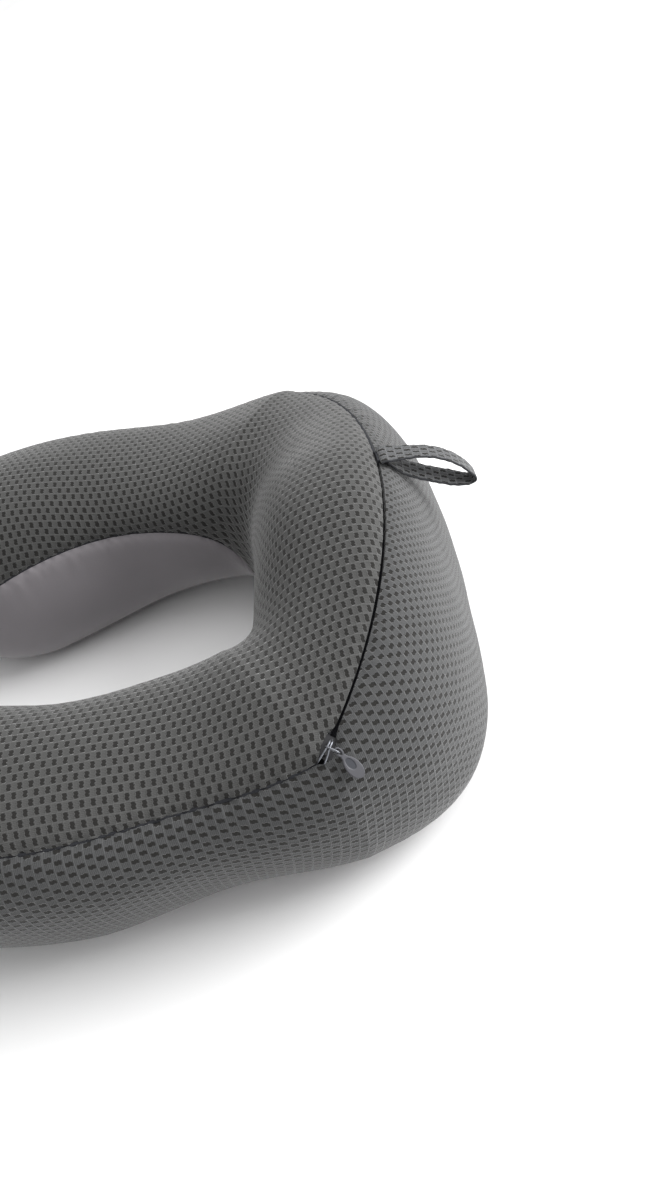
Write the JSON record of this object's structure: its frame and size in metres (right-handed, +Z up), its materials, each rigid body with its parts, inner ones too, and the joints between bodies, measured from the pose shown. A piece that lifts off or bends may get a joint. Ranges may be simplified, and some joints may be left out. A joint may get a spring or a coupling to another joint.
{
  "type": "neck pillow",
  "caption": "U-shaped memory-foam travel neck pillow in a spacer-mesh cover with smooth stretch underside, concealed zip along the nape and a mesh hang loop.",
  "frame": {"origin": "middle of the whole footprint, hang loop included, on the surface the pillow lies on", "axes": "+Z up, +Y from the mouth of the U towards the nape, +X towards the arm nearer the zip slider"},
  "size_m": [0.2754, 0.2994, 0.1085],
  "materials": {
    "mesh_top": "knitted spacer mesh, matte",
    "mesh_side": "knitted spacer mesh, matte",
    "stretch_fabric": "smooth brushed stretch knit",
    "thread": "sewn thread",
    "liner_fabric": "thin stretch tricot",
    "memory_foam": null,
    "zip_tape": "woven tape",
    "zip_coil": "nylon coil",
    "zip_stop": "moulded stop",
    "slider_metal": "dark plated",
    "bail_wire": "grey plated wire",
    "tab_enamel": "satin grey enamel",
    "loop_mesh": "folded mesh strip"
  },
  "bodies": {
    "pillow": {"top_panel": "mesh_top", "outer_side_panel": "mesh_side", "bottom_panel": "stretch_fabric", "outer_seam_thread_near": "thread", "outer_seam_thread_far": "thread", "inner_seam_thread": "thread", "lower_seam_thread": "thread", "inner_liner": "liner_fabric", "foam_core": "memory_foam", "zip_tape_upper": "zip_tape", "zip_tape_lower": "zip_tape", "zip_coil_upper": "zip_coil", "zip_coil_lower": "zip_coil", "zip_bottom_stop": "zip_stop", "zip_top_stop_upper": "zip_stop", "zip_top_stop_lower": "zip_stop", "loop_tail": "loop_mesh"},
    "slider": {"slider_body": "slider_metal"},
    "bail": {"pull_bail": "bail_wire"},
    "tab": {"pull_tab": "tab_enamel"},
    "loop": {"hang_loop": "loop_mesh"}
  },
  "joints": [
    {"name": "zip_travel", "type": "hinge", "parent": "pillow", "child": "slider", "pos_m": [0, -0.04133, 0.01679], "axis": [0, -0.4727, 0.8812], "range_deg": [0, 39.75]},
    {"name": "bail_swing", "type": "hinge", "parent": "slider", "child": "bail", "pos_m": [0.11366, 0.07764, 0.08207], "axis": [0.7666, -0.5658, -0.3035], "range_deg": [0, 150]},
    {"name": "tab_swivel", "type": "hinge", "parent": "bail", "child": "tab", "pos_m": [0.11514, 0.08081, 0.07989], "axis": [0.567, 0.3746, 0.7337], "range_deg": [-45, 12]},
    {"name": "loop_flop", "type": "hinge", "parent": "pillow", "child": "loop", "pos_m": [-0.01424, 0.1155, 0.09883], "axis": [0.9968, 0.0802, 0], "range_deg": [0, 55], "stiffness_Nm_per_rad": 0.002}
  ]
}
